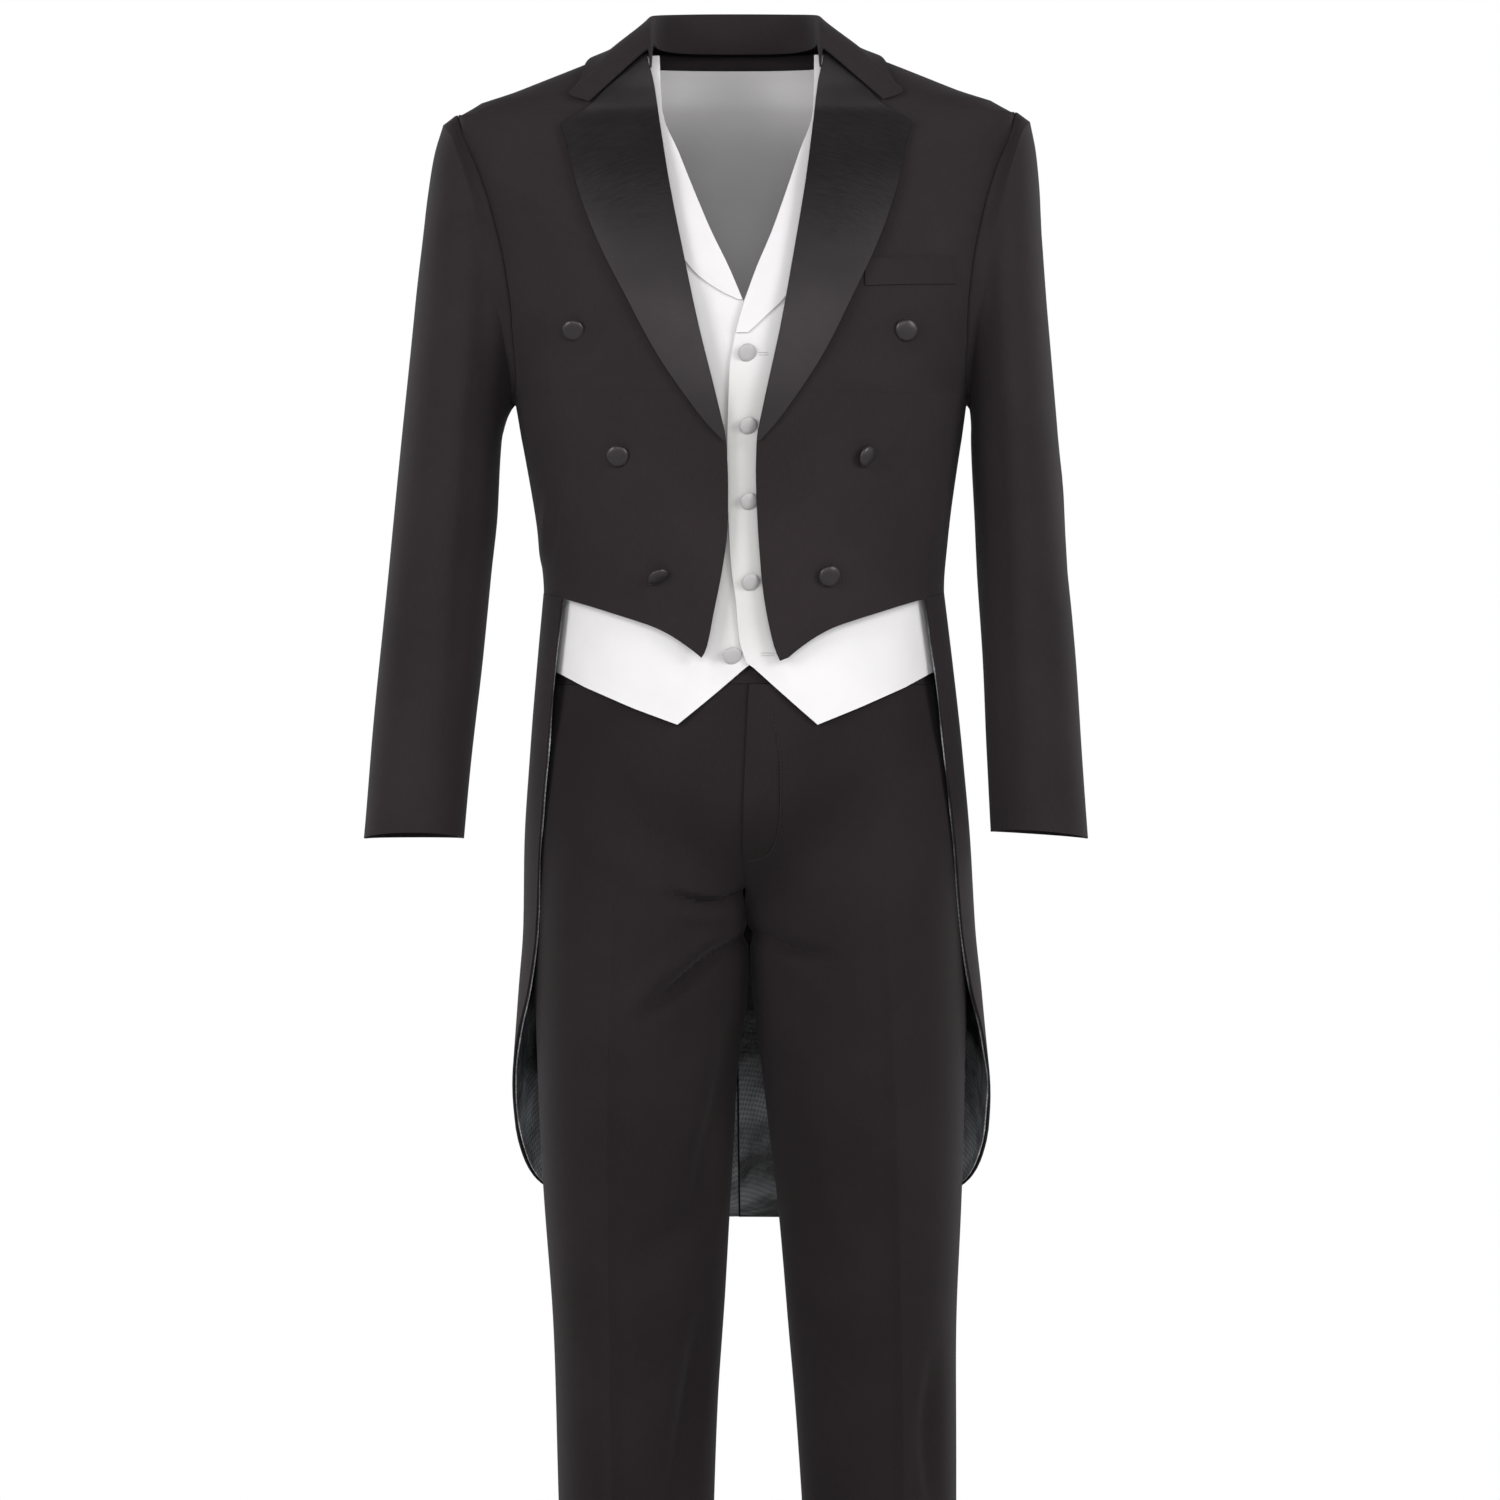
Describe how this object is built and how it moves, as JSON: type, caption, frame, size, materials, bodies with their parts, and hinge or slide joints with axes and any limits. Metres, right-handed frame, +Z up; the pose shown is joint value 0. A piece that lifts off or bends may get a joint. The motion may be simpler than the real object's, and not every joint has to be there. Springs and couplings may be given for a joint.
{
  "type": "tailcoat suit",
  "caption": "Evening tailcoat suit, hollow as worn: black tailcoat with satin lapels and lined tails, white waistcoat with small buttons, black pleatless trousers.",
  "frame": {"origin": "in the neck opening, level with the tops of the coat's shoulder seams", "axes": "+Z up the wearer's body, -Y the wearer's front, +X the wearer's left"},
  "size_m": [0.5975, 0.2922, 1.5744],
  "materials": {
    "wool": "matt fine twill wool",
    "trouser_wool": "matt fine twill wool",
    "satin": "soft satin sheen",
    "lining": "glossy lining twill",
    "white_cloth": "smooth white cloth with a slight sheen",
    "white_satin": "white satin sheen"
  },
  "bodies": {
    "root": {"breast_welt": "wool", "coat_back_left": "wool", "coat_back_right": "wool", "coat_button_low_left": "satin", "coat_button_low_right": "satin", "coat_button_middle_left": "satin", "coat_button_middle_right": "satin", "coat_button_top_left": "satin", "coat_button_top_right": "satin", "coat_front_left": "wool", "coat_front_right": "wool", "collar": "wool", "lapel_left": "satin", "lapel_right": "satin", "revers_left": "white_satin", "revers_right": "white_satin", "sleeve_left": "wool", "sleeve_right": "wool", "tail_left": "wool", "tail_lining_left": "lining", "tail_lining_right": "lining", "tail_right": "wool", "trousers_back_left": "trouser_wool", "trousers_back_right": "trouser_wool", "trousers_front_left": "trouser_wool", "trousers_front_right": "trouser_wool", "waistband": "trouser_wool", "waistcoat_back": "white_cloth", "waistcoat_button_1": "white_satin", "waistcoat_button_2": "white_satin", "waistcoat_button_3": "white_satin", "waistcoat_button_4": "white_satin", "waistcoat_button_5": "white_satin", "waistcoat_front_left": "white_cloth", "waistcoat_front_right": "white_cloth"}
  },
  "joints": []
}
